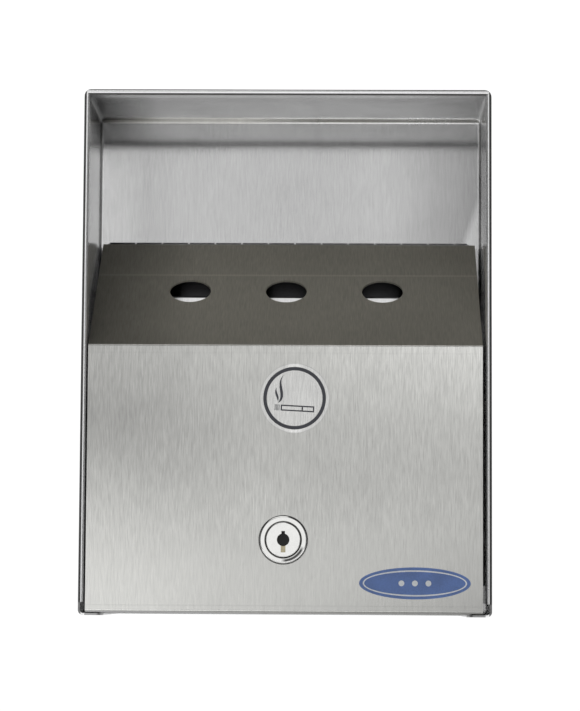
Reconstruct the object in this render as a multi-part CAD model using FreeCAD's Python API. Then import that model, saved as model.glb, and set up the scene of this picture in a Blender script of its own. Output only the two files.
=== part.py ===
"""Wall-hung cigarette ash bin: a hooded stainless cabinet with a lockable cover and a lift-out ash pan.

Millimetres. +X is right, -Y is towards the person in front, +Z is up. The origin is the centre of the
four wall-screw holes, on the back face of the cabinet.
"""
import FreeCAD, Part
import math
import os

Vector = FreeCAD.Vector

# Cabinet: one folded sheet with a hemmed front rim, mitred at the top corners.
WIDTH = 184.5
HEIGHT = 237.5
DEPTH = 76.0
TOP = 150.0
SHEET = 0.9
BEND_INSIDE = 1.4
HEM_THICKNESS = 2.5
HEM_RETURN = 8.0
CORNER_RADIUS = 3.6
RIM_FOOT = 5.8
FOOT_RADIUS = 2.4
FLANGE_WIDTH = 11.2
FLANGE_CORNER = 3.5
FLANGE_SETBACK = 1.4
WALL_HOLE_RADIUS = 3.2
WALL_HOLE_SPACING_X = 127.0
WALL_HOLE_SPACING_Z = 100.0

# Floor: its front lip is the keeper the lock cam catches, and the stop the closed cover rests on.
FLOOR_SIDE_GAP = 1.3
LIP_FRONT = -61.7
LIP_HEIGHT = 13.1
FLOOR_REAR_FLANGE = 10.0

# Continuous hinge: half-inch knuckles, cut to length so the last knuckle is short.
HINGE_LEFT = -86.4
HINGE_LENGTH = 171.3
KNUCKLE_PITCH = 12.7
KNUCKLE_GAP = 0.6
BARREL_RADIUS = 1.9
PIN_RADIUS = 1.0
PIN_HEAD_RADIUS = 1.4
PIN_HEAD = 0.5
PIN_CLEARANCE = 0.05
LEAF = 1.0
LEAF_WIDTH = 30.5
LEAF_START = 2.6
BARREL_GAP = 0.3
HINGE_Y = -SHEET - BARREL_GAP - BARREL_RADIUS
HINGE_Z = 87.6

# Cover: sloped lid, front panel and bottom return flange, folded from one sheet. It hangs a little left
# of the cabinet's middle, and its lock and butt holes a little further left.
COVER_WIDTH = 177.2
COVER_X = -0.45
FITTINGS_X = -0.8
COVER_FRONT = -75.0
COVER_BOTTOM = TOP - HEIGHT + SHEET + 0.2
COVER_BEND = 0.6
LID_SLOPE = math.radians(38.5)
LID_REAR = 2.3
LID_LOWER = 1.68
COVER_RETURN = 12.9
BUTT_HOLE_RADIUS = 9.525
BUTT_HOLE_SPACING = 44.5
BUTT_HOLE_DISTANCE = 44.2

# Cam lock.
LOCK_X = FITTINGS_X
LOCK_Z = -53.6
BEZEL_RADIUS = 11.0
BEZEL_THICKNESS = 2.2
BEZEL_ROUND = 1.2
BEZEL_CHAMFER = 0.5
LOCK_BODY_RADIUS = 9.5
LOCK_BODY_FLAT = 8.6
LOCK_BODY_REAR = -59.6
LOCK_HOLE_PLAY = 0.1
THREAD_FIT = 0.02
PLUG_RADIUS = 7.82
PLUG_BORE_RADIUS = 7.9
PLUG_FRONT = -78.0
PLUG_ROUND = 0.5
PLUG_REAR = -59.4
KEYHOLE_RADIUS = 2.8
KEYHOLE_DEPTH = 12.0
KEY_SLOT_WIDTH = 2.1
KEY_SLOT_REACH = 5.6
KEY_NOTCH_WIDTH = 1.6
KEY_NOTCH_REACH = 3.9
WAFER_COUNT = 5
WAFER_PITCH = 1.6
WAFER_THICKNESS = 0.5
WAFER_WIDTH = 8.0
WAFER_LENGTH = 12.4
WAFER_PLAY = 0.1
FIRST_WAFER = -77.0
WASHER_THICKNESS = 0.6
WASHER_RADIUS = 12.2
WASHER_TEETH = 16
WASHER_NOTCH_RADIUS = 0.9
NUT_THICKNESS = 3.0
NUT_ACROSS_FLATS = 24.0
CAM_FRONT = -59.2
CAM_THICKNESS = 2.0
CAM_REACH = 29.0
CAM_HUB_RADIUS = 8.4
CAM_TIP_RADIUS = 4.5
TANG = 7.0
CAM_FIT = 0.1
CAM_SCREW_RADIUS = 2.0
CAM_SCREW_LENGTH = 7.0
CAM_WASHER_RADIUS = 6.0
CAM_WASHER_THICKNESS = 0.8
CAM_WASHER_PLAY = 0.2
SCREW_HEAD_RADIUS = 4.0
SCREW_HEAD_HEIGHT = 1.8
SCREW_HEAD_ROUND = 0.9
SCREW_SLOT_DEPTH = 0.9
SCREW_SLOT_HALF_WIDTH = 0.5
SCREW_SLOT_HALF_LENGTH = 2.4

# Lift-out ash pan; its rim runs parallel to the lid.
PAN_WIDTH = 172.0
PAN_REAR = -14.0
PAN_FRONT = -53.2
PAN_REAR_TOP = 62.3
PAN_SHEET = 0.8
PAN_HEM = 6.0
PAN_CORNER = 2.0

# Stick-on symbol, and the badge, which carries no name.
FILM_RADIUS = 15.7
FILM_X = 3.9
FILM_Z = 9.8
FILM_THICKNESS = 0.1
PRINT_THICKNESS = 0.08
SYMBOL_TILT = -3.0
RING_OUTER = 14.05
RING_INNER = 12.5
BADGE_X = 57.9
BADGE_Z = -72.6
BADGE_HALF_WIDTH = 24.8
BADGE_HALF_HEIGHT = 7.1
BADGE_THICKNESS = 0.4
BORDER_INSET_X = 1.6
BORDER_INSET_Z = 1.3
BORDER_LINE = 0.65
DOT_RADIUS = 1.3
DOT_PITCH = 6.0

BOTTOM = TOP - HEIGHT
HALF_WIDTH = WIDTH / 2
BEND_OUTSIDE = BEND_INSIDE + SHEET
FLOOR_TOP = BOTTOM + 2 * SHEET
OVERLAP = 1.0  # how far a cutting tool runs past the face it cuts
CLOSE = 1e-6  # places nearer than this are the same place
UPRIGHT = 0.999  # an edge whose direction has at least this Z part stands upright


def box(x0, x1, y0, y1, z0, z1):
    return Part.makeBox(x1 - x0, y1 - y0, z1 - z0, Vector(x0, y0, z0))


def disc(radius, x, z, front, rear):
    """A cylinder along Y from its front face to its rear face."""
    return Part.makeCylinder(radius, rear - front, Vector(x, front, z), Vector(0, 1, 0))


def rod(radius, y, z, x0, x1):
    return Part.makeCylinder(radius, x1 - x0, Vector(x0, y, z), Vector(1, 0, 0))


def plan(u, v):
    return Vector(u, v, 0)


def front_view(u, v):
    return Vector(u, 0, v)


def side_view(u, v):
    return Vector(0, u, v)


def unit(p, q):
    length = math.hypot(q[0] - p[0], q[1] - p[1])
    return ((q[0] - p[0]) / length, (q[1] - p[1]) / length)


def rounded_chain(points, radii, place):
    """Edges of an open 2-D polyline whose inner corners are arcs of the given radii."""
    edges = []
    last = points[0]
    for i, radius in enumerate(radii, start=1):
        corner = points[i]
        before = unit(corner, points[i - 1])
        after = unit(corner, points[i + 1])
        half = math.acos(before[0] * after[0] + before[1] * after[1]) / 2
        reach = radius / math.tan(half)
        start = (corner[0] + before[0] * reach, corner[1] + before[1] * reach)
        end = (corner[0] + after[0] * reach, corner[1] + after[1] * reach)
        bisector = unit((0, 0), (before[0] + after[0], before[1] + after[1]))
        depth = radius / math.sin(half) - radius
        middle = (corner[0] + bisector[0] * depth, corner[1] + bisector[1] * depth)
        if math.dist(last, start) > CLOSE:
            edges.append(Part.makeLine(place(*last), place(*start)))
        edges.append(Part.Arc(place(*start), place(*middle), place(*end)).toShape())
        last = end
    if math.dist(last, points[-1]) > CLOSE:
        edges.append(Part.makeLine(place(*last), place(*points[-1])))
    return edges


def bent_sheet(path, inside_radii, thickness, place, direction):
    """Folded sheet: the path is its outside surface and the sheet lies to the path's left, where it bends."""
    count = len(path)
    directions = [unit(path[i], path[i + 1]) for i in range(count - 1)]
    normals = [(-d[1], d[0]) for d in directions]
    inner = []
    for i in range(count):
        a = normals[max(i - 1, 0)]
        b = normals[min(i, count - 2)]
        share = thickness / (1 + a[0] * b[0] + a[1] * b[1])
        inner.append((path[i][0] + (a[0] + b[0]) * share, path[i][1] + (a[1] + b[1]) * share))
    outside_radii = [radius + thickness for radius in inside_radii]
    edges = rounded_chain(path, outside_radii, place)
    edges.append(Part.makeLine(place(*path[-1]), place(*inner[-1])))
    edges += rounded_chain(inner[::-1], inside_radii[::-1], place)
    edges.append(Part.makeLine(place(*inner[0]), place(*path[0])))
    return Part.Face(Part.Wire(Part.__sortEdges__(edges))).extrude(direction)


def prism(points, place, direction):
    corners = [place(*point) for point in points]
    return Part.Face(Part.makePolygon(corners + corners[:1])).extrude(direction)


def smooth_blade(points, place, direction):
    """A leaf shape with two pointed ends: one spline up each side."""
    tip, left, foot, right = points
    sides = []
    for chain in ([tip, *left, foot], [foot, *right, tip]):
        curve = Part.BSplineCurve()
        curve.interpolate([place(*point) for point in chain])
        sides.append(curve.toShape())
    return Part.Face(Part.Wire(sides)).extrude(direction)


def one_solid(shape):
    shape = shape.removeSplitter()
    return shape.Solids[0] if len(shape.Solids) == 1 else shape


def mirrored(shape):
    return shape.mirror(Vector(0, 0, 0), Vector(1, 0, 0))


def lid_point(along, above):
    """(y, z) of a point that far down the slope from the hinge axis and that far above it."""
    y = HINGE_Y - along * math.cos(LID_SLOPE) - above * math.sin(LID_SLOPE)
    z = HINGE_Z - along * math.sin(LID_SLOPE) + above * math.cos(LID_SLOPE)
    return (y, z)


def hem_path():
    """Outside of a wall and its front hem in (across, depth): across grows towards the inside."""
    return [
        (BEND_OUTSIDE, 0),
        (0, 0),
        (0, -DEPTH),
        (HEM_THICKNESS, -DEPTH),
        (HEM_THICKNESS, -DEPTH + HEM_RETURN),
    ]


HEM_INSIDE = HEM_THICKNESS / 2 - SHEET
HEM_BENDS = [BEND_INSIDE, HEM_INSIDE, HEM_INSIDE]
MITRE = 5.0  # the mitre plane only has to cross the hem and the back bend
CORNER_RUN_IN = 0.8  # how far the rounded corners reach into the back bend


def outline_prism(inset=0.0):
    """The cabinet's front outline with its rounded top corners, right through the depth."""
    half = HALF_WIDTH - inset
    top = TOP - inset
    block = box(-half, half, -DEPTH - OVERLAP, OVERLAP, BOTTOM, top)
    edges = [
        edge
        for edge in block.Edges
        if abs(edge.CenterOfMass.z - top) < CLOSE and abs(abs(edge.CenterOfMass.x) - half) < CLOSE
    ]
    return block.makeFillet(CORNER_RADIUS - inset, edges)


def round_corners():
    """The rounded sheet at the two top corners, between the hem's fold and the back bend."""
    front = -DEPTH + HEM_THICKNESS / 2
    rear = -BEND_OUTSIDE + CORNER_RUN_IN
    left = box(-HALF_WIDTH, -HALF_WIDTH + CORNER_RADIUS, front, rear, TOP - CORNER_RADIUS, TOP)
    shell = outline_prism().cut(outline_prism(SHEET))
    return shell.common(left.fuse(mirrored(left)))


def side_panel_left():
    path = [(-HALF_WIDTH + across, depth) for across, depth in hem_path()]
    rim_bottom = BOTTOM + RIM_FOOT
    wall = bent_sheet(path, HEM_BENDS, SHEET, plan, Vector(0, 0, TOP - rim_bottom))
    wall.translate(Vector(0, 0, rim_bottom))
    keep = prism(
        [
            (-HALF_WIDTH - OVERLAP, TOP + OVERLAP),
            (-HALF_WIDTH - OVERLAP, BOTTOM),
            (-HALF_WIDTH + MITRE, BOTTOM),
            (-HALF_WIDTH + MITRE, TOP - MITRE),
        ],
        front_view,
        Vector(0, -DEPTH - 2 * OVERLAP, 0),
    )
    keep.translate(Vector(0, OVERLAP, 0))
    wall = wall.fuse(round_corners()).common(keep).common(outline_prism())
    foot_path = [
        (-HALF_WIDTH, rim_bottom),
        (-HALF_WIDTH, BOTTOM),
        (-HALF_WIDTH + FLANGE_WIDTH, BOTTOM),
    ]
    foot_depth = DEPTH - FLANGE_SETBACK - BEND_OUTSIDE
    foot = bent_sheet(foot_path, [FOOT_RADIUS - SHEET], SHEET, front_view, Vector(0, -foot_depth, 0))
    foot.translate(Vector(0, -BEND_OUTSIDE, 0))
    corner = [
        edge
        for edge in foot.Edges
        if abs(edge.CenterOfMass.x + HALF_WIDTH - FLANGE_WIDTH) < CLOSE
        and abs(edge.CenterOfMass.y + DEPTH - FLANGE_SETBACK) < CLOSE
    ]
    foot = foot.makeFillet(FLANGE_CORNER, corner)
    return one_solid(wall.fuse(foot))


def top_panel():
    path = [(depth, TOP - across) for across, depth in hem_path()]
    panel = bent_sheet(path, HEM_BENDS, SHEET, side_view, Vector(WIDTH, 0, 0))
    panel.translate(Vector(-HALF_WIDTH, 0, 0))
    keep = prism(
        [
            (-HALF_WIDTH - OVERLAP, TOP + OVERLAP),
            (-HALF_WIDTH + MITRE, TOP - MITRE),
            (HALF_WIDTH - MITRE, TOP - MITRE),
            (HALF_WIDTH + OVERLAP, TOP + OVERLAP),
        ],
        front_view,
        Vector(0, -DEPTH - 2 * OVERLAP, 0),
    )
    keep.translate(Vector(0, OVERLAP, 0))
    return one_solid(panel.fuse(round_corners()).common(keep).common(outline_prism()))


def back_panel():
    edge = HALF_WIDTH - BEND_OUTSIDE
    panel = box(-edge, edge, -SHEET, 0, BOTTOM, TOP - BEND_OUTSIDE)
    for x in (-WALL_HOLE_SPACING_X / 2, WALL_HOLE_SPACING_X / 2):
        for z in (-WALL_HOLE_SPACING_Z / 2, WALL_HOLE_SPACING_Z / 2):
            panel = panel.cut(disc(WALL_HOLE_RADIUS, x, z, -SHEET - OVERLAP, OVERLAP))
    return panel


def floor_panel():
    edge = HALF_WIDTH - SHEET - FLOOR_SIDE_GAP
    bottom = BOTTOM + SHEET
    path = [
        (LIP_FRONT, bottom + LIP_HEIGHT),
        (LIP_FRONT, bottom),
        (-SHEET, bottom),
        (-SHEET, bottom + FLOOR_REAR_FLANGE),
    ]
    panel = bent_sheet(path, [BEND_INSIDE] * 2, SHEET, side_view, Vector(2 * edge, 0, 0))
    panel.translate(Vector(-edge, 0, 0))
    return panel


def cover():
    lid_upper = LID_LOWER + SHEET
    start = lid_point(LID_REAR, lid_upper)
    plane = lid_point(0, lid_upper)
    crease = (COVER_FRONT, plane[1] - (plane[0] - COVER_FRONT) * math.tan(LID_SLOPE))
    path = [
        start,
        crease,
        (COVER_FRONT, COVER_BOTTOM),
        (COVER_FRONT + COVER_RETURN, COVER_BOTTOM),
    ]
    sheet = bent_sheet(path, [COVER_BEND] * 2, SHEET, side_view, Vector(COVER_WIDTH, 0, 0))
    sheet.translate(Vector(COVER_X - COVER_WIDTH / 2, 0, 0))
    up = Vector(0, -math.sin(LID_SLOPE), math.cos(LID_SLOPE))
    y, z = lid_point(BUTT_HOLE_DISTANCE, LID_LOWER - OVERLAP)
    for offset in (-BUTT_HOLE_SPACING, 0, BUTT_HOLE_SPACING):
        place = Vector(FITTINGS_X + offset, y, z)
        punch = Part.makeCylinder(BUTT_HOLE_RADIUS, SHEET + 2 * OVERLAP, place, up)
        sheet = sheet.cut(punch)
    hole = disc(
        LOCK_BODY_RADIUS + LOCK_HOLE_PLAY,
        LOCK_X,
        LOCK_Z,
        COVER_FRONT - OVERLAP,
        COVER_FRONT + SHEET + OVERLAP,
    )
    return sheet.cut(hole)


def knuckles(first):
    """Start and end X of every second knuckle, counting from the given one."""
    spans = []
    index = first
    end = HINGE_LEFT + HINGE_LENGTH
    while HINGE_LEFT + index * KNUCKLE_PITCH < end - KNUCKLE_GAP:
        left = HINGE_LEFT + index * KNUCKLE_PITCH
        right = min(left + KNUCKLE_PITCH, end)
        spans.append((left + KNUCKLE_GAP / 2, right - KNUCKLE_GAP / 2))
        index += 2
    return spans


def hinge_leaf(first, plate, web):
    """A leaf plate with its rolled knuckles; web makes the strip that joins a knuckle to the plate."""
    leaf = plate
    for x0, x1 in knuckles(first):
        leaf = leaf.fuse(rod(BARREL_RADIUS, HINGE_Y, HINGE_Z, x0, x1))
        leaf = leaf.fuse(web(x0, x1))
    bore = rod(PIN_RADIUS + PIN_CLEARANCE, HINGE_Y, HINGE_Z, -HALF_WIDTH, HALF_WIDTH)
    return one_solid(leaf.cut(bore))


def hinge_leaf_fixed():
    right = HINGE_LEFT + HINGE_LENGTH
    top = HINGE_Z - LEAF_START
    plate = box(HINGE_LEFT, right, -SHEET - LEAF, -SHEET, HINGE_Z - LEAF_WIDTH, top)

    def web(x0, x1):
        return box(x0, x1, -SHEET - LEAF, -SHEET, top - OVERLAP, HINGE_Z)

    return hinge_leaf(0, plate, web)


def hinge_leaf_moving():
    def strip(x0, x1, s0, s1):
        corners = [
            lid_point(s0, LID_LOWER - LEAF),
            lid_point(s1, LID_LOWER - LEAF),
            lid_point(s1, LID_LOWER),
            lid_point(s0, LID_LOWER),
        ]
        shape = prism(corners, side_view, Vector(x1 - x0, 0, 0))
        shape.translate(Vector(x0, 0, 0))
        return shape

    plate = strip(HINGE_LEFT, HINGE_LEFT + HINGE_LENGTH, LEAF_START, LEAF_WIDTH)
    return hinge_leaf(1, plate, lambda x0, x1: strip(x0, x1, 0, LEAF_START + OVERLAP))


def hinge_pin():
    x0 = HINGE_LEFT
    x1 = HINGE_LEFT + HINGE_LENGTH
    pin = rod(PIN_RADIUS, HINGE_Y, HINGE_Z, x0 - PIN_HEAD, x1 + PIN_HEAD)
    for start in (x0 - PIN_HEAD, x1):
        pin = pin.fuse(rod(PIN_HEAD_RADIUS, HINGE_Y, HINGE_Z, start, start + PIN_HEAD))
    return one_solid(pin)


def rounded_front(solid, front, radius):
    rim = [edge for edge in solid.Edges if edge.Closed and abs(edge.CenterOfMass.y - front) < CLOSE]
    return solid.makeFillet(radius, rim)


def lock_housing():
    front = COVER_FRONT - BEZEL_THICKNESS
    bezel = rounded_front(disc(BEZEL_RADIUS, LOCK_X, LOCK_Z, front, COVER_FRONT), front, BEZEL_ROUND)
    body = disc(LOCK_BODY_RADIUS, LOCK_X, LOCK_Z, COVER_FRONT, LOCK_BODY_REAR)
    flats = box(
        LOCK_X - LOCK_BODY_FLAT,
        LOCK_X + LOCK_BODY_FLAT,
        COVER_FRONT,
        LOCK_BODY_REAR,
        LOCK_Z - LOCK_BODY_RADIUS,
        LOCK_Z + LOCK_BODY_RADIUS,
    )
    bore = disc(PLUG_BORE_RADIUS, LOCK_X, LOCK_Z, front - OVERLAP, LOCK_BODY_REAR + OVERLAP)
    mouth = Part.makeCone(
        PLUG_BORE_RADIUS + BEZEL_CHAMFER + OVERLAP,
        PLUG_BORE_RADIUS,
        BEZEL_CHAMFER + OVERLAP,
        Vector(LOCK_X, front - OVERLAP, LOCK_Z),
        Vector(0, 1, 0),
    )
    return one_solid(bezel.fuse(body.common(flats)).cut(bore).cut(mouth))


def key_barrel():
    """The round part of the keyhole and the small notch above it."""
    rear = PLUG_FRONT + KEYHOLE_DEPTH
    hole = disc(KEYHOLE_RADIUS, LOCK_X, LOCK_Z, PLUG_FRONT - OVERLAP, rear)
    notch = box(
        LOCK_X - KEY_NOTCH_WIDTH / 2,
        LOCK_X + KEY_NOTCH_WIDTH / 2,
        PLUG_FRONT - OVERLAP,
        rear,
        LOCK_Z,
        LOCK_Z + KEY_NOTCH_REACH,
    )
    return hole.fuse(notch)


def key_slot():
    return box(
        LOCK_X - KEY_SLOT_WIDTH / 2,
        LOCK_X + KEY_SLOT_WIDTH / 2,
        PLUG_FRONT - OVERLAP,
        PLUG_FRONT + KEYHOLE_DEPTH,
        LOCK_Z - KEY_SLOT_REACH,
        LOCK_Z,
    )


def wafer_plate(index, play):
    front = FIRST_WAFER + index * WAFER_PITCH
    return box(
        LOCK_X - WAFER_WIDTH / 2 - play,
        LOCK_X + WAFER_WIDTH / 2 + play,
        front - play,
        front + WAFER_THICKNESS + play,
        LOCK_Z - WAFER_LENGTH / 2 - play,
        LOCK_Z + WAFER_LENGTH / 2 + play,
    )


def lock_plug():
    plug = rounded_front(disc(PLUG_RADIUS, LOCK_X, LOCK_Z, PLUG_FRONT, PLUG_REAR), PLUG_FRONT, PLUG_ROUND)
    half = TANG / 2
    tang_rear = CAM_FRONT + CAM_THICKNESS - CAM_FIT
    tang = box(LOCK_X - half, LOCK_X + half, PLUG_REAR, tang_rear, LOCK_Z - half, LOCK_Z + half)
    plug = plug.fuse(tang).cut(key_barrel()).cut(key_slot())
    for index in range(WAFER_COUNT):
        plug = plug.cut(wafer_plate(index, WAFER_PLAY))
    screw_end = CAM_FRONT + CAM_THICKNESS - CAM_SCREW_LENGTH
    plug = plug.cut(disc(CAM_SCREW_RADIUS, LOCK_X, LOCK_Z, screw_end, tang_rear + OVERLAP))
    return one_solid(plug)


def lock_wafers():
    """With the key out, the wafers close the slot and leave only the key's round barrel clear."""
    window = key_barrel()
    return Part.makeCompound([wafer_plate(index, 0.0).cut(window) for index in range(WAFER_COUNT)])


def ring(outer, inner, x, z, front, rear):
    hole = disc(inner, x, z, front - OVERLAP, rear + OVERLAP)
    return disc(outer, x, z, front, rear).cut(hole)


def panel_rear():
    return COVER_FRONT + SHEET


def lock_washer():
    rear = panel_rear() + WASHER_THICKNESS
    washer = ring(WASHER_RADIUS, LOCK_BODY_RADIUS + LOCK_HOLE_PLAY, LOCK_X, LOCK_Z, panel_rear(), rear)
    for index in range(WASHER_TEETH):
        angle = 2 * math.pi * index / WASHER_TEETH
        x = LOCK_X + WASHER_RADIUS * math.cos(angle)
        z = LOCK_Z + WASHER_RADIUS * math.sin(angle)
        washer = washer.cut(disc(WASHER_NOTCH_RADIUS, x, z, panel_rear() - OVERLAP, rear + OVERLAP))
    return washer


def lock_nut():
    front = panel_rear() + WASHER_THICKNESS
    corner_radius = NUT_ACROSS_FLATS / math.sqrt(3)
    corners = []
    for index in range(6):
        angle = math.radians(60 * index)
        corners.append((LOCK_X + corner_radius * math.cos(angle), LOCK_Z + corner_radius * math.sin(angle)))
    nut = prism(corners, front_view, Vector(0, NUT_THICKNESS, 0))
    nut.translate(Vector(0, front, 0))
    rear = front + NUT_THICKNESS
    bore = disc(LOCK_BODY_RADIUS + THREAD_FIT, LOCK_X, LOCK_Z, front - OVERLAP, rear + OVERLAP)
    return nut.cut(bore)


def lock_cam():
    rear = CAM_FRONT + CAM_THICKNESS
    tip_x = LOCK_X + CAM_REACH - CAM_TIP_RADIUS
    hub = disc(CAM_HUB_RADIUS, LOCK_X, LOCK_Z, CAM_FRONT, rear)
    tip = disc(CAM_TIP_RADIUS, tip_x, LOCK_Z, CAM_FRONT, rear)
    arm = box(LOCK_X, tip_x, CAM_FRONT, rear, LOCK_Z - CAM_TIP_RADIUS, LOCK_Z + CAM_TIP_RADIUS)
    half = (TANG + CAM_FIT) / 2
    hole_front = CAM_FRONT - OVERLAP
    hole_rear = rear + OVERLAP
    hole = box(LOCK_X - half, LOCK_X + half, hole_front, hole_rear, LOCK_Z - half, LOCK_Z + half)
    return one_solid(hub.fuse(tip).fuse(arm).cut(hole))


def cam_washer():
    front = CAM_FRONT + CAM_THICKNESS
    rear = front + CAM_WASHER_THICKNESS
    return ring(CAM_WASHER_RADIUS, CAM_SCREW_RADIUS + CAM_WASHER_PLAY, LOCK_X, LOCK_Z, front, rear)


def cam_screw():
    head_front = CAM_FRONT + CAM_THICKNESS + CAM_WASHER_THICKNESS
    head_rear = head_front + SCREW_HEAD_HEIGHT
    shank_front = CAM_FRONT + CAM_THICKNESS - CAM_SCREW_LENGTH
    head = disc(SCREW_HEAD_RADIUS, LOCK_X, LOCK_Z, head_front, head_rear)
    head = rounded_front(head, head_rear, SCREW_HEAD_ROUND)
    arms = [SCREW_SLOT_HALF_WIDTH, SCREW_SLOT_HALF_LENGTH]
    for across, along in (arms, arms[::-1]):
        slot = box(
            LOCK_X - across,
            LOCK_X + across,
            head_rear - SCREW_SLOT_DEPTH,
            head_rear + OVERLAP,
            LOCK_Z - along,
            LOCK_Z + along,
        )
        head = head.cut(slot)
    shank = disc(CAM_SCREW_RADIUS, LOCK_X, LOCK_Z, shank_front, head_front)
    return one_solid(head.fuse(shank))


def ash_pan():
    drop = math.tan(LID_SLOPE)

    def body(inset, top_lift):
        rear = PAN_REAR - inset
        front = PAN_FRONT + inset
        rear_top = PAN_REAR_TOP - inset * drop + top_lift
        front_top = rear_top - (rear - front) * drop
        bottom = FLOOR_TOP + inset
        corners = [(rear, bottom), (front, bottom), (front, front_top), (rear, rear_top)]
        half = PAN_WIDTH / 2 - inset
        shape = prism(corners, side_view, Vector(2 * half, 0, 0))
        shape.translate(Vector(-half, 0, 0))
        sides = [edge for edge in shape.Edges if abs(abs(edge.CenterOfMass.x) - half) < CLOSE]
        corners_up = [edge for edge in sides if abs(edge.tangentAt(edge.FirstParameter).z) > UPRIGHT]
        return shape.makeFillet(PAN_CORNER - inset, corners_up)

    pan = body(0.0, 0.0).cut(body(PAN_SHEET, OVERLAP * 4))
    half_hem = PAN_WIDTH / 2 - PAN_CORNER
    front_top = PAN_REAR_TOP - (PAN_REAR - PAN_FRONT) * drop
    rear_hem = box(
        -half_hem,
        half_hem,
        PAN_REAR,
        PAN_REAR + PAN_SHEET,
        PAN_REAR_TOP - PAN_HEM,
        PAN_REAR_TOP,
    )
    front_hem = box(
        -half_hem,
        half_hem,
        PAN_FRONT - PAN_SHEET,
        PAN_FRONT,
        front_top - PAN_HEM,
        front_top,
    )
    return one_solid(pan.fuse(rear_hem).fuse(front_hem))


def decal_film():
    return disc(FILM_RADIUS, FILM_X, FILM_Z, COVER_FRONT - FILM_THICKNESS, COVER_FRONT)


def decal_symbol():
    """The smoking symbol: ring, outlined cigarette, four ash ticks and two plumes of smoke."""
    front = COVER_FRONT - FILM_THICKNESS - PRINT_THICKNESS
    through = Vector(0, PRINT_THICKNESS, 0)
    line = 0.6
    left, right = -6.0, 9.05
    low, high = -5.9, -3.2
    filter_x = 3.7
    outline = prism([(left, low), (right, low), (right, high), (left, high)], front_view, through)
    windows = [(left + line, filter_x - line / 2), (filter_x + line / 2, right - line)]
    for x0, x1 in windows:
        inner = [(x0, low + line), (x1, low + line), (x1, high - line), (x0, high - line)]
        outline = outline.cut(prism(inner, front_view, through))
    marks = [ring(RING_OUTER, RING_INNER, 0, 0, 0, PRINT_THICKNESS), outline]
    tick_width = 0.28
    tick_pitch = 0.6
    first_tick = -8.65
    for index in range(4):
        x = first_tick + tick_pitch * index
        tick = [(x, low), (x + tick_width, low), (x + tick_width, high), (x, high)]
        marks.append(prism(tick, front_view, through))
    tall_plume = [
        (-5.4, 10.2),
        [(-6.9, 7.6), (-7.0, 4.4), (-6.45, 0.6)],
        (-7.4, -2.5),
        [(-5.85, -1.3), (-5.3, 1.9), (-6.1, 5.4)],
    ]
    short_plume = [
        (-8.3, 4.3),
        [(-8.9, 2.6), (-8.4, 0.6)],
        (-7.45, -1.9),
        [(-7.2, -0.1), (-8.0, 2.2)],
    ]
    for plume in (tall_plume, short_plume):
        marks.append(smooth_blade(plume, front_view, through))
    symbol = Part.makeCompound(marks)
    symbol.rotate(Vector(0, 0, 0), Vector(0, 1, 0), -SYMBOL_TILT)
    symbol.translate(Vector(FILM_X, front, FILM_Z))
    return symbol


def ellipse_plate(half_width, half_height, front, rear):
    curve = Part.Ellipse(Vector(0, 0, 0), half_width, half_height).toShape()
    plate = Part.Face(Part.Wire([curve])).extrude(Vector(0, 0, rear - front))
    plate.rotate(Vector(0, 0, 0), Vector(1, 0, 0), 90)
    plate.translate(Vector(BADGE_X, rear, BADGE_Z))
    return plate


def badge():
    return ellipse_plate(BADGE_HALF_WIDTH, BADGE_HALF_HEIGHT, COVER_FRONT - BADGE_THICKNESS, COVER_FRONT)


def badge_print():
    """A plain line border and three dots: no name or mark."""
    rear = COVER_FRONT - BADGE_THICKNESS
    front = rear - PRINT_THICKNESS
    half_width = BADGE_HALF_WIDTH - BORDER_INSET_X
    half_height = BADGE_HALF_HEIGHT - BORDER_INSET_Z
    border = ellipse_plate(half_width, half_height, front, rear)
    half_width -= BORDER_LINE
    half_height -= BORDER_LINE
    border = border.cut(ellipse_plate(half_width, half_height, front - OVERLAP, rear + OVERLAP))
    dots = [disc(DOT_RADIUS, BADGE_X + step * DOT_PITCH, BADGE_Z, front, rear) for step in (-1, 0, 1)]
    return Part.makeCompound([border] + dots)


PIECES = {
    "back_panel": back_panel,
    "side_panel_left": side_panel_left,
    "side_panel_right": lambda: mirrored(side_panel_left()),
    "top_panel": top_panel,
    "floor_panel": floor_panel,
    "cover": cover,
    "hinge_leaf_fixed": hinge_leaf_fixed,
    "hinge_leaf_moving": hinge_leaf_moving,
    "hinge_pin": hinge_pin,
    "lock_housing": lock_housing,
    "lock_plug": lock_plug,
    "lock_wafers": lock_wafers,
    "lock_washer": lock_washer,
    "lock_nut": lock_nut,
    "lock_cam": lock_cam,
    "cam_washer": cam_washer,
    "cam_screw": cam_screw,
    "ash_pan": ash_pan,
    "decal_film": decal_film,
    "decal_symbol": decal_symbol,
    "badge": badge,
    "badge_print": badge_print,
}

os.makedirs("parts", exist_ok=True)
for name, make in PIECES.items():
    shape = make()
    if not shape.isValid() or any(solid.Volume <= 0 for solid in shape.Solids):
        raise ValueError(f"{name} is not a valid solid")
    shape.exportStep(f"parts/{name}.step")
    extent = shape.BoundBox
    print(
        f"{name}: {len(shape.Solids)} solids, {shape.Volume:.1f} mm3,"
        f" x {extent.XMin:.1f}..{extent.XMax:.1f} y {extent.YMin:.1f}..{extent.YMax:.1f}"
        f" z {extent.ZMin:.1f}..{extent.ZMax:.1f}"
    )
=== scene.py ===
"""Looks of the wall-hung ash bin: brushed stainless, chrome lock, printed sticker, studio and camera.

Metres, in the row frame: +X right, -Y out of the wall, +Z up. A tone multiplies a surface's colour.
"""

import math

import bpy
from mathutils import Matrix, Vector


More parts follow.
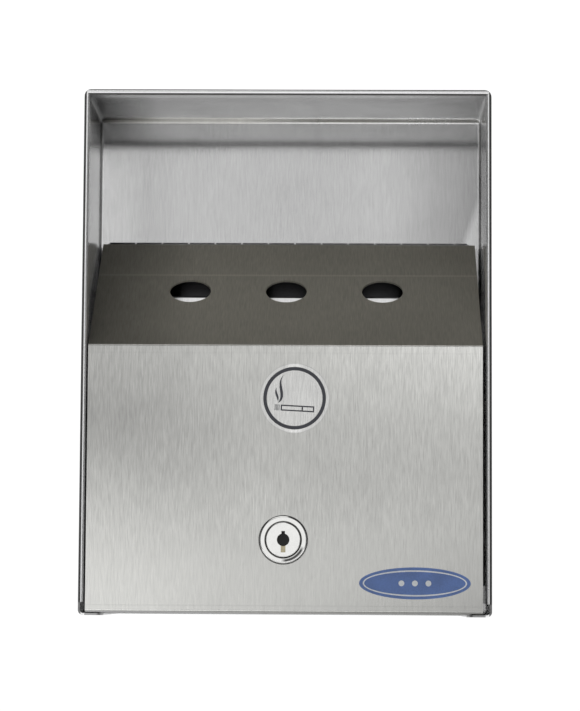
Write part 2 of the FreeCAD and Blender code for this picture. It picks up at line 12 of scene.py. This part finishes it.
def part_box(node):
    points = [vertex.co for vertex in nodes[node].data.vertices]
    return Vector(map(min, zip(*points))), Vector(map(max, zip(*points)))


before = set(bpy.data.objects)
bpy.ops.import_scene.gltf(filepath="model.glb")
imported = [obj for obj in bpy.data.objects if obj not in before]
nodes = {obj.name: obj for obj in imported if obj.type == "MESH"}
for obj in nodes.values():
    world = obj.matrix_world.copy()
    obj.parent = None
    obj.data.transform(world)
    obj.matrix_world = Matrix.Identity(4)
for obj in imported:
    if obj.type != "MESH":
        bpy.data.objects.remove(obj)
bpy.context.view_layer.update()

MM = 0.001


class Nodes:
    """Short names for building one node tree."""

    def __init__(self, tree):
        self.tree = tree

    def add(self, kind, **settings):
        node = self.tree.nodes.new(kind)
        for key, value in settings.items():
            setattr(node, key, value)
        return node

    def link(self, output, target):
        self.tree.links.new(output, target)

    def put(self, target, value):
        """Links a socket, or sets a constant on the target."""
        if isinstance(value, bpy.types.NodeSocket):
            self.link(value, target)
        else:
            target.default_value = value

    def ramp(self, value, start, end, before=0.0, after=1.0):
        """The number before up to the start, after beyond the end, and a straight line between them."""
        node = self.add("ShaderNodeMapRange")
        for name, number in (("From Min", start), ("From Max", end), ("To Min", before), ("To Max", after)):
            node.inputs[name].default_value = number
        self.link(value, node.inputs["Value"])
        return node.outputs["Result"]

    def math(self, operation, a, b=0.0):
        """One math node; b is ignored by the operations that take one number."""
        node = self.add("ShaderNodeMath", operation=operation)
        self.put(node.inputs[0], a)
        self.put(node.inputs[1], b)
        return node.outputs[0]

    def fold(self, operation, values):
        """One operation over all the values, from the left."""
        total = values[0]
        for value in values[1:]:
            total = self.math(operation, total, value)
        return total

    def product(self, *values):
        return self.fold("MULTIPLY", values)

    def total(self, *values):
        return self.fold("ADD", values)

    def minus(self, a, b):
        return self.math("SUBTRACT", a, b)

    def magnitude(self, value):
        """The value without its sign."""
        return self.math("ABSOLUTE", value)

    def blend_values(self, factor, a, b):
        node = self.add("ShaderNodeMix", data_type="FLOAT")
        self.put(node.inputs["Factor"], factor)
        self.put(node.inputs["A"], a)
        self.put(node.inputs["B"], b)
        return node.outputs["Result"]

    def parts_of(self, vector):
        split = self.add("ShaderNodeSeparateXYZ")
        self.link(vector, split.inputs[0])
        return split.outputs["X"], split.outputs["Y"], split.outputs["Z"]


# Between these values of a noise, its effect goes from the least to the most.
WIDE_NOISE = (0.25, 0.75)
NARROW_NOISE = (0.3, 0.7)


class Shader(Nodes):
    """One node material; place, x, y and z are the object's own coordinates, at rest the frame's."""

    def __init__(self, name):
        self.material = bpy.data.materials.new(name)
        self.material.use_nodes = True
        super().__init__(self.material.node_tree)
        self.bsdf = self.tree.nodes["Principled BSDF"]
        self.place = self.add("ShaderNodeTexCoord").outputs["Object"]
        self.x, self.y, self.z = self.parts_of(self.place)

    def noise(self, stretch, detail=2.0, roughness=0.5, offset=(0, 0, 0)):
        """Noise whose features per metre along each axis are given by stretch."""
        mapping = self.add("ShaderNodeMapping")
        mapping.inputs["Scale"].default_value = stretch
        mapping.inputs["Location"].default_value = offset
        self.link(self.place, mapping.inputs["Vector"])
        texture = self.add("ShaderNodeTexNoise")
        texture.inputs["Scale"].default_value = 1.0
        texture.inputs["Detail"].default_value = detail
        texture.inputs["Roughness"].default_value = roughness
        self.link(mapping.outputs["Vector"], texture.inputs["Vector"])
        return texture.outputs["Fac"]

    def varied(self, noise, share, noise_range=WIDE_NOISE):
        """A tone of 1, less or more by the share as the noise goes."""
        return self.ramp(noise, *noise_range, before=1 - share, after=1 + share)

    def mix(self, factor, a, b):
        node = self.add("ShaderNodeMix", data_type="RGBA")
        self.put(node.inputs["Factor"], factor)
        self.put(node.inputs["A"], a)
        self.put(node.inputs["B"], b)
        return node.outputs["Result"]

    def bump(self, height, distance, strength=1.0, normal=None):
        node = self.add("ShaderNodeBump")
        node.inputs["Distance"].default_value = distance
        node.inputs["Strength"].default_value = strength
        self.link(height, node.inputs["Height"])
        if normal is not None:
            self.link(normal, node.inputs["Normal"])
        return node.outputs["Normal"]

    def scaled(self, color, tone):
        """The colour times a tone."""
        node = self.add("ShaderNodeVectorMath", operation="SCALE")
        node.inputs[0].default_value = color[:3]
        self.link(tone, node.inputs["Scale"])
        return node.outputs[0]

    def line(self, position, at, half_width, tone):
        """1 everywhere, going to the tone in a soft line at one position."""
        return self.ramp(self.magnitude(self.minus(position, at)), 0.0, half_width, before=tone, after=1.0)

    def set(self, **inputs):
        for key, value in inputs.items():
            self.put(self.bsdf.inputs[key.replace("_", " ")], value)


def grey(value, warmth=0.0):
    """A steel tint: warmth takes that share of the blue away."""
    return (value, value, value * (1 - warmth), 1.0)


# Features per metre of the brushing, across the scratches and along them, and of the clouds.
HAIRLINES = (3800.0, 120.0)
STREAKS = (2300.0, 165.0)
CLOUDS = (16.0, 16.0, 11.0)
MOTTLE = (90.0, 90.0, 60.0)
SCRATCH_DEPTH = 0.006 * MM
ROUGHNESS_SPAN = (0.85, 1.2)  # times the roughness given


def brushed(
    name,
    tone,
    across,
    warmth=0.0,
    roughness=0.2,
    contrast=0.06,
    grain=0.07,
    cloudiness=0.08,
    wave=0.4 * MM,
    drift=None,
    satin=None,
    polish=None,
    skin=None,
):
    """Brushed sheet steel; across is the unit vector over the scratches.

    Contrast, grain and cloudiness are how far the hairlines, the streaks and the clouds change the tone,
    and wave is the depth of the clouds' bump. The rest are functions of the shader: drift is the tone by
    place, which here paints light and shade, satin multiplies the roughness, and polish is how far the
    brushing fades, from 0 to 1. Skin is (where, colour, metallic): a less metallic layer on the steel,
    which here paints shade or a highlight.
    """
    shader = Shader(name)

    def stretch(pair):
        fine, long = pair
        return tuple(fine * abs(a) + long * (1 - abs(a)) for a in across)

    hairline = shader.noise(stretch(HAIRLINES), detail=3.0, roughness=0.75)
    streak = shader.noise(stretch(STREAKS), detail=3.0, offset=(3.1, 1.7, 0.4))
    cloud = shader.noise(CLOUDS, detail=3.0, roughness=0.5, offset=(7.3, 2.2, 5.1))
    mottle = shader.noise(MOTTLE, detail=3.0, roughness=0.6, offset=(1.3, 8.2, 2.7))
    value = shader.product(
        shader.varied(hairline, contrast),
        shader.varied(streak, grain),
        shader.varied(cloud, cloudiness),
        shader.varied(mottle, cloudiness / 3),
    )
    if polish is not None:
        value = shader.blend_values(polish(shader), value, 1.0)
    if drift is not None:
        value = shader.product(value, drift(shader))
    color = shader.scaled(grey(tone, warmth), value)
    metallic = 1.0
    if skin is not None:
        where, skin_color, skin_metallic = skin
        covered = where(shader)
        color = shader.mix(covered, color, shader.scaled(skin_color, value))
        metallic = shader.ramp(covered, 0.0, 1.0, before=1.0, after=skin_metallic)
    smoothest, roughest = (roughness * share for share in ROUGHNESS_SPAN)
    rough = shader.ramp(hairline, *WIDE_NOISE, before=smoothest, after=roughest)
    if satin is not None:
        rough = shader.product(rough, satin(shader))
    tangent = shader.add("ShaderNodeCombineXYZ")
    for axis, part in zip("XYZ", across):
        tangent.inputs[axis].default_value = part
    shader.set(
        Base_Color=color,
        Metallic=metallic,
        Roughness=rough,
        Anisotropic=1.0,
        Normal=shader.bump(hairline, SCRATCH_DEPTH, normal=shader.bump(cloud, wave)),
        Tangent=tangent.outputs[0],
    )
    return shader


def paint(node, shader):
    mesh = nodes[node].data
    mesh.materials.clear()
    mesh.materials.append(shader.material)


ACROSS_X = (1.0, 0.0, 0.0)
ACROSS_Y = (0.0, 1.0, 0.0)
ACROSS_Z = (0.0, 0.0, 1.0)

cover_low, cover_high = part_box("cover")
hood_low, hood_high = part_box("top_panel")
side_low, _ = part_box("side_panel_left")
leaf_low, leaf_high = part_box("hinge_leaf_moving")
LID_DROP = 116.3 * MM  # from the top of the hood down to the lid's front edge
REFLECTION_LINE_ABOVE_LEAF = 1.7 * MM  # from the foot of the moving hinge leaf up to a bright reflection line painted on the lid
crease_z = hood_high.z - LID_DROP
lid_reflection_line_z = leaf_low.z + REFLECTION_LINE_ABOVE_LEAF

# Painted reflection: these brighten and darken the front panel in broad patches, in place of the studio's
# uneven reflection in it.
PANEL_TWIST = 0.27  # lower left and upper right brighter, the other two corners darker
PANEL_TILT = -0.04  # darker towards the right
PANEL_BAND = -0.08  # darker in a band across
BAND_HEIGHT = 0.25  # above the panel's middle, in half heights
BAND_RATE = 3.2  # radians of the band's wave in half a height
DIP_HEIGHT = 0.45  # of a second, darker patch at the left edge
DIP_TONE = 0.82


def panel_painted_reflection(shader):
    """The front panel's painted reflection of the studio, uneven over it, with painted shade in a faint
    line at each fold and a painted highlight at the foot.
    """
    middle_z = (cover_low.z + crease_z) / 2
    half_height = (crease_z - cover_low.z) / 2
    across = shader.math("DIVIDE", shader.x, cover_high.x)
    up = shader.math("DIVIDE", shader.minus(shader.z, middle_z), half_height)
    wave = shader.math("COSINE", shader.product(shader.minus(up, BAND_HEIGHT), BAND_RATE))
    broad = shader.total(
        shader.product(across, up, PANEL_TWIST),
        shader.product(across, PANEL_TILT),
        shader.product(wave, PANEL_BAND),
        1.0,
    )
    far_left = shader.ramp(across, -1.0, -0.3, before=1.0, after=0.0)
    from_dip = shader.magnitude(shader.minus(up, DIP_HEIGHT))
    near_dip = shader.ramp(from_dip, 0.05, 0.45, before=1.0, after=0.0)
    dip = shader.ramp(shader.product(far_left, near_dip), 0.0, 1.0, before=1.0, after=DIP_TONE)
    top_fold = shader.line(shader.z, crease_z - 3.6 * MM, 0.5 * MM, tone=0.95)
    foot_fold = shader.line(shader.z, cover_low.z + 3.5 * MM, 0.5 * MM, tone=0.92)
    foot = shader.ramp(shader.z, cover_low.z + 0.3 * MM, cover_low.z + 1.2 * MM, before=1.5)
    return shader.product(broad, dip, top_fold, foot_fold, foot)


def lid_painted_shade(shader):
    """Painted shade: the lid is darkened, most of all at its left end, with a painted bright reflection
    line at the height of the hinge leaf's edge.
    """
    return shader.product(
        shader.ramp(shader.x, cover_low.x, cover_low.x + 45 * MM, before=0.4),
        shader.ramp(shader.x, 0.0, cover_high.x, before=1.0, after=0.88),
        shader.ramp(shader.z, crease_z, cover_high.z, before=0.72, after=0.78),
        shader.line(shader.z, lid_reflection_line_z, 0.7 * MM, tone=1.3),
    )


def on_lid(shader):
    """1 on the sloped lid, 0 on the front panel."""
    return shader.ramp(shader.z, crease_z - 0.2 * MM, crease_z + 0.4 * MM)


def cover_painted_light(shader):
    """Painted shade on the lid above the fold, and painted reflection on the front panel below it."""
    return shader.blend_values(on_lid(shader), panel_painted_reflection(shader), lid_painted_shade(shader))


def cover_polish(shader):
    """The brushing shows less in the lower third of the front panel."""
    return shader.ramp(shader.z, cover_low.z + 24 * MM, cover_low.z + 46 * MM, before=0.55, after=0.0)


def cover_satin(shader):
    """The lid is rougher than the front panel."""
    return shader.ramp(on_lid(shader), 0.0, 1.0, before=1.0, after=2.2)


def inside_only(shader, tone, depth):
    """The given tone on a sheet's inner face, and 1 on its outer face; depth is from the outer face."""
    return shader.blend_values(shader.ramp(depth, 0.3 * MM, 0.6 * MM), 1.0, tone)


def with_rim(shader, tone, across, edge, edge_tone):
    """The given tone, but at the front a painted highlight on the rim between painted shade at its outer
    and inner edges.

    Across is the distance inwards over the rim, and edge is where its dark outer edge ends.
    """
    outer = shader.ramp(across, edge, edge + 0.25 * MM, before=edge_tone, after=1.5)
    inner = shader.ramp(across, 1.7 * MM, 2.0 * MM, before=1.0, after=0.3)
    from_front = shader.minus(shader.y, hood_low.y)
    on_rim = shader.ramp(from_front, 1.5 * MM, 2.5 * MM, before=1.0, after=0.0)
    return shader.blend_values(on_rim, tone, shader.product(outer, inner))


def side_painted_light(low_tone, top_tone):
    """A side's painted light and shade: its own tone low down behind the cover and at the top of the hood,
    a painted highlight along the top and a painted rim.
    """

    def drift(shader):
        from_middle = shader.magnitude(shader.x)
        tone = shader.product(
            shader.ramp(shader.z, cover_high.z - 12 * MM, cover_high.z, before=low_tone),
            shader.ramp(shader.z, hood_high.z - 22 * MM, hood_high.z - 8 * MM, before=1.0, after=top_tone),
            shader.line(shader.z, hood_high.z - 1.2 * MM, 1.3 * MM, tone=1.5),
        )
        tone = inside_only(shader, tone, shader.minus(-side_low.x, from_middle))
        return with_rim(shader, tone, shader.minus(hood_high.x, from_middle), edge=0.1 * MM, edge_tone=0.25)

    return drift


def back_painted_light(shader):
    """Painted reflection and shade: brighter down the left edge and in the lower right corner; dimmer at
    the right and in a painted shadow strip under the top.
    """
    right_end = hood_high.x
    left = shader.ramp(shader.x, hood_low.x + 3 * MM, hood_low.x + 22 * MM, before=1.5)
    right = shader.ramp(shader.x, right_end - 45 * MM, right_end - 22 * MM, before=1.0, after=0.8)
    corner_edge = shader.ramp(
        shader.z, cover_high.z, cover_high.z + 24 * MM, before=right_end - 9 * MM, after=right_end - 1 * MM
    )
    past_edge = shader.minus(shader.x, corner_edge)
    corner = shader.ramp(past_edge, -1.0 * MM, 2.4 * MM, before=1.0, after=1.6)
    under_top = shader.ramp(shader.z, hood_high.z - 13.5 * MM, hood_high.z - 11.5 * MM)
    strip = shader.product(
        shader.ramp(shader.x, hood_low.x + 8 * MM, hood_low.x + 28 * MM, before=0.62, after=0.75),
        shader.ramp(shader.x, right_end - 60 * MM, right_end - 25 * MM, before=1.0, after=0.8),
    )
    tone = shader.blend_values(under_top, shader.product(left, right, corner), strip)
    return inside_only(shader, tone, shader.minus(0.0, shader.y))


def top_painted_light(shader):
    """Painted shade and light underneath: darkest at the left end and brightest at the right, with a
    painted highlight on the rim.
    """
    depth = shader.minus(hood_high.z, shader.z)
    left = shader.ramp(shader.x, hood_low.x + 1 * MM, hood_low.x + 31 * MM, before=0.1)
    right = shader.ramp(shader.x, hood_high.x - 50 * MM, hood_high.x - 18 * MM, before=1.0, after=1.15)
    tone = inside_only(shader, shader.product(left, right, 1.3), depth)
    return with_rim(shader, tone, depth, edge=0.5 * MM, edge_tone=0.1)


def in_back_bend(shader):
    """1 in the bend between the top and the back, where a highlight is painted, fading out to the right."""
    return shader.product(
        shader.ramp(shader.y, -2.9 * MM, -2.5 * MM),
        shader.ramp(shader.z, hood_high.z - 0.7 * MM, hood_high.z - 0.5 * MM, before=1.0, after=0.0),
        shader.ramp(shader.x, -25 * MM, 15 * MM, before=1.0, after=0.3),
    )


def hinge_painted_shade(shader):
    """Painted shade: leaves darkened as in the unlit inside, below a brighter barrel."""
    return shader.ramp(shader.z, leaf_high.z - 5.5 * MM, leaf_high.z - 3.5 * MM, before=0.12, after=0.8)


# The skins: where they are, their colour and how metallic they look.
# Painted shade: a duller, warmer, less metallic skin darkens the lid in place of the dark inside of the
# hood that it reflects.
LID_SHADE_SKIN = (on_lid, (0.60, 0.575, 0.495, 1.0), 0.45)
# Painted highlight: a pale, barely metallic skin in the bend between the top and the back.
BEND_HIGHLIGHT_SKIN = (in_back_bend, (0.95, 0.94, 0.9, 1.0), 0.2)

steel_front = brushed(
    "steel_front",
    0.61,
    ACROSS_X,
    warmth=0.035,
    grain=0.16,
    drift=cover_painted_light,
    satin=cover_satin,
    polish=cover_polish,
    skin=LID_SHADE_SKIN,
)
# Each panel's tone is partly painted light: the left wall is a brighter, lit copy of the steel and the
# right wall a darker, shaded one.
steel_back = brushed("steel_back", 0.60, ACROSS_X, wave=0.2 * MM, drift=back_painted_light)
steel_top = brushed("steel_top", 0.67, ACROSS_X, drift=top_painted_light, skin=BEND_HIGHLIGHT_SKIN)
steel_floor = brushed("steel_floor", 0.65, ACROSS_X)
steel_left = brushed("steel_left", 0.93, ACROSS_Y, drift=side_painted_light(low_tone=1.05, top_tone=0.27))
steel_right = brushed("steel_right", 0.70, ACROSS_Y, drift=side_painted_light(low_tone=1.4, top_tone=0.85))
steel_hinge = brushed("steel_hinge", 0.5, ACROSS_Z, warmth=-0.05, drift=hinge_painted_shade)
steel_pan = brushed("steel_pan", 0.8, ACROSS_X, roughness=0.16, cloudiness=0.02)

for name, shader in {
    "cover": steel_front,
    "back_panel": steel_back,
    "top_panel": steel_top,
    "floor_panel": steel_floor,
    "side_panel_left": steel_left,
    "side_panel_right": steel_right,
    "ash_pan": steel_pan,
    "hinge_leaf_fixed": steel_hinge,
    "hinge_leaf_moving": steel_hinge,
    "hinge_pin": steel_hinge,
}.items():
    paint(name, shader)


def plated(name, color, roughness, wear, drift=None):
    """Plated or polished metal with faint marks."""
    shader = Shader(name)
    marks = shader.noise((400.0, 400.0, 400.0), detail=5.0, roughness=0.65)
    smudge = shader.noise((90.0, 90.0, 90.0), detail=2.0, offset=(4.0, 4.0, 1.0))
    value = shader.ramp(marks, *NARROW_NOISE, before=1 - wear, after=1.0)
    if drift is not None:
        value = shader.product(value, drift(shader))
    shader.set(
        Base_Color=shader.scaled(color, value),
        Metallic=1.0,
        Roughness=shader.ramp(smudge, *NARROW_NOISE, before=roughness * 0.7, after=roughness * 1.4),
        Normal=shader.bump(marks, 0.012 * MM, 0.5),
    )
    return shader


lock_low, lock_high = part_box("lock_housing")
plug_low, plug_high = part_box("lock_plug")
LOCK_X = (lock_low.x + lock_high.x) / 2
LOCK_Z = (lock_low.z + lock_high.z) / 2
BEZEL_RADIUS = (lock_high.x - lock_low.x) / 2
PLUG_RADIUS = (plug_high.z - plug_low.z) / 2
DARK_REFLECTION_RADIUS = 9.2 * MM  # of a painted dark reflection curving over the bezel
DARK_REFLECTION_DIRECTION = (0.55, 0.0, -0.84)  # from the lock's middle


def lock_tone(shader):
    """Bright front; painted shadow round the bezel's outer edge, a dark joint round the plug, one painted
    dark reflection on the bezel and painted shade inside the keyhole.
    """
    place = shader.add("ShaderNodeCombineXYZ")
    shader.link(shader.minus(shader.x, LOCK_X), place.inputs["X"])
    shader.link(shader.minus(shader.z, LOCK_Z), place.inputs["Z"])
    length = shader.add("ShaderNodeVectorMath", operation="LENGTH")
    shader.link(place.outputs[0], length.inputs[0])
    radius = length.outputs["Value"]
    along_dark_reflection = shader.add("ShaderNodeVectorMath", operation="DOT_PRODUCT")
    shader.link(place.outputs[0], along_dark_reflection.inputs[0])
    along_dark_reflection.inputs[1].default_value = DARK_REFLECTION_DIRECTION
    cosine = shader.math("DIVIDE", along_dark_reflection.outputs["Value"], radius)

    # Painted shadow along the bezel's outer edge.
    rim = shader.ramp(radius, BEZEL_RADIUS - 0.6 * MM, BEZEL_RADIUS - 0.25 * MM, before=1.0, after=0.05)
    joint = shader.line(radius, PLUG_RADIUS + 0.1 * MM, 0.38 * MM, tone=0.04)
    # Painted dark reflection on the bezel, over one stretch of it.
    off_dark_reflection = shader.magnitude(shader.minus(radius, DARK_REFLECTION_RADIUS))
    on_dark_reflection = shader.product(
        shader.ramp(cosine, 0.78, 0.9),
        shader.ramp(off_dark_reflection, 0.3 * MM, 0.8 * MM, before=1.0, after=0.0),
    )
    dark_reflection = shader.ramp(on_dark_reflection, 0.0, 1.0, before=1.0, after=0.08)
    # Painted shade inside the keyhole.
    in_keyhole = shader.product(
        shader.ramp(shader.y, plug_low.y + 0.35 * MM, plug_low.y + 0.7 * MM),
        shader.ramp(radius, PLUG_RADIUS - 1.0 * MM, PLUG_RADIUS - 1.1 * MM),
    )
    keyhole_shade = shader.ramp(in_keyhole, 0.0, 1.0, before=1.0, after=0.03)
    return shader.product(rim, joint, keyhole_shade, dark_reflection)


chrome = plated("chrome", (0.93, 0.93, 0.91, 1), roughness=0.09, wear=0.06, drift=lock_tone)
zinc = plated("zinc", (0.62, 0.62, 0.58, 1), roughness=0.32, wear=0.2)
brass = plated("brass", (0.62, 0.55, 0.38, 1), roughness=0.28, wear=0.35)
for name in ("lock_housing", "lock_plug"):
    paint(name, chrome)
for name in ("lock_washer", "lock_nut", "lock_cam", "cam_washer", "cam_screw"):
    paint(name, zinc)
paint("lock_wafers", brass)

film_low, film_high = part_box("decal_film")
FILM_X = (film_low.x + film_high.x) / 2
FILM_Z = (film_low.z + film_high.z) / 2
FILM_RADIUS = (film_high.x - film_low.x) / 2


def film_drift(shader):
    """Dark at the film's cut edge, with a bright catch of light just inside it at the top and the foot."""
    across = shader.minus(shader.x, FILM_X)
    up = shader.minus(shader.z, FILM_Z)
    radius = shader.math("SQRT", shader.total(shader.product(across, across), shader.product(up, up)))
    edge = shader.ramp(radius, FILM_RADIUS - 0.5 * MM, FILM_RADIUS - 0.1 * MM, before=1.0, after=0.7)
    outside_ring = shader.ramp(radius, FILM_RADIUS - 1.7 * MM, FILM_RADIUS - 1.4 * MM)
    upright = shader.ramp(shader.magnitude(across), 2.0 * MM, 4.5 * MM, before=1.0, after=0.0)
    catch = shader.ramp(shader.product(outside_ring, upright), 0.0, 1.0, before=1.0, after=1.3)
    return shader.product(edge, catch)


# The steel shows through the sticker's clear film, under its gloss.
film = brushed(
    "film",
    0.75,
    ACROSS_X,
    warmth=0.02,
    roughness=0.24,
    contrast=0.04,
    grain=0.15,
    drift=film_drift,
)
film.set(Coat_Weight=1.0, Coat_Roughness=0.06)
paint("decal_film", film)


def printed(name, color, roughness, variation):
    """Ink or moulded plastic under a thin clear skin."""
    shader = Shader(name)
    speck = shader.noise((1500.0, 1500.0, 1500.0), detail=3.0, roughness=0.6)
    shade = shader.noise((120.0, 120.0, 120.0), detail=2.0, offset=(2.0, 5.0, 3.0))
    value = shader.product(
        shader.varied(speck, variation, NARROW_NOISE),
        shader.varied(shade, variation, NARROW_NOISE),
    )
    shader.set(
        Base_Color=shader.scaled(color, value),
        Roughness=roughness,
        Coat_Weight=0.5,
        Coat_Roughness=0.12,
        Normal=shader.bump(shade, 0.03 * MM, 0.4),
    )
    return shader


paint("decal_symbol", printed("ink", (0.028, 0.031, 0.045, 1), roughness=0.5, variation=0.2))
paint("badge", printed("badge_blue", (0.08, 0.172, 0.465, 1), roughness=0.35, variation=0.12))
paint("badge_print", printed("badge_line", (0.8, 0.83, 0.86, 1), roughness=0.4, variation=0.05))

FLOOR_SIDE = 12.0
FLOOR_HEIGHT = -0.6

floor_shader = Shader("studio_floor")
floor_shader.set(
    Base_Color=floor_shader.mix(floor_shader.noise((3, 3, 3)), (0.86, 0.86, 0.86, 1), (0.9, 0.9, 0.9, 1)),
    Roughness=0.9,
)
corners = [(-0.5, -0.5), (0.5, -0.5), (0.5, 0.5), (-0.5, 0.5)]
floor_mesh = bpy.data.meshes.new("studio_floor")
floor_mesh.from_pydata([(x * FLOOR_SIDE, y * FLOOR_SIDE, 0) for x, y in corners], [], [(0, 1, 2, 3)])
floor_mesh.materials.append(floor_shader.material)
floor = bpy.data.objects.new("studio_floor", floor_mesh)
floor.location = (0, 0, FLOOR_HEIGHT)
bpy.context.scene.collection.objects.link(floor)


def softbox(name, size, radiance, place, target=(0, 0, 0.03)):
    data = bpy.data.lights.new(name, "AREA")
    data.shape = "RECTANGLE"
    data.size, data.size_y = size
    data.energy = radiance * math.pi * size[0] * size[1]
    light = bpy.data.objects.new(name, data)
    light.location = place
    light.rotation_euler = (Vector(place) - Vector(target)).to_track_quat("Z", "Y").to_euler()
    bpy.context.scene.collection.objects.link(light)


softbox("front_box", size=(2.6, 1.7), radiance=0.85, place=(0.0, -2.4, 0.45))
softbox("top_box", size=(1.6, 1.0), radiance=1.1, place=(-0.4, -0.9, 1.6))
softbox("low_box", size=(2.4, 1.5), radiance=0.8, place=(0.0, -1.3, -0.57), target=(0.0, -1.2, 0.5))
softbox("left_rear_box", size=(1.6, 1.6), radiance=0.9, place=(-2.0, 1.7, 1.1))
softbox("right_rear_box", size=(1.6, 1.6), radiance=0.9, place=(2.0, 1.7, 1.1))

# The room, by direction from the object: dim in front, paler at the sides and behind, and a white
# backdrop straight behind. Along an axis, 1 is straight in its direction.
ROOM_FRONT = 0.06
ROOM_REAR = 0.42
ROOM_SIDE = 0.3
BACKDROP = 1.05
world = bpy.data.worlds.new("studio")
world.use_nodes = True
room = Nodes(world.node_tree)
along_x, along_y, _ = room.parts_of(room.add("ShaderNodeTexCoord").outputs["Generated"])
rear = room.ramp(along_y, 0.05, 0.45, before=ROOM_FRONT, after=ROOM_REAR)
side = room.ramp(room.magnitude(along_x), 0.8, 0.95, before=0.0, after=ROOM_SIDE)
walls = room.math("MAXIMUM", rear, side)
strength = room.blend_values(room.ramp(along_y, 0.93, 0.955), walls, BACKDROP)
background = world.node_tree.nodes["Background"]
background.inputs["Color"].default_value = (1, 1, 1, 1)
room.link(strength, background.inputs["Strength"])
bpy.context.scene.world = world
bpy.context.scene.view_settings.view_transform = "Standard"

# Camera: a long lens a little below the middle of the object, tilted up.
CAMERA_PLACE = (23.3 * MM, -1236.1 * MM, -75.7 * MM)
CAMERA_YAW = math.radians(1.065)
CAMERA_PITCH = math.radians(5.152)
CAMERA_ROLL = math.radians(0.341)
CAMERA_LENS = 131.5
CAMERA_SENSOR = 36.0

camera = bpy.data.objects.new("camera", bpy.data.cameras.new("camera"))
camera.data.sensor_fit = "VERTICAL"
camera.data.sensor_height = CAMERA_SENSOR
camera.data.lens = CAMERA_LENS
turn = Matrix.Rotation(CAMERA_YAW, 4, "Z")
tilt = Matrix.Rotation(math.pi / 2 + CAMERA_PITCH, 4, "X")
roll = Matrix.Rotation(CAMERA_ROLL, 4, "Z")
camera.matrix_world = Matrix.Translation(CAMERA_PLACE) @ turn @ tilt @ roll
bpy.context.scene.collection.objects.link(camera)
bpy.context.scene.camera = camera
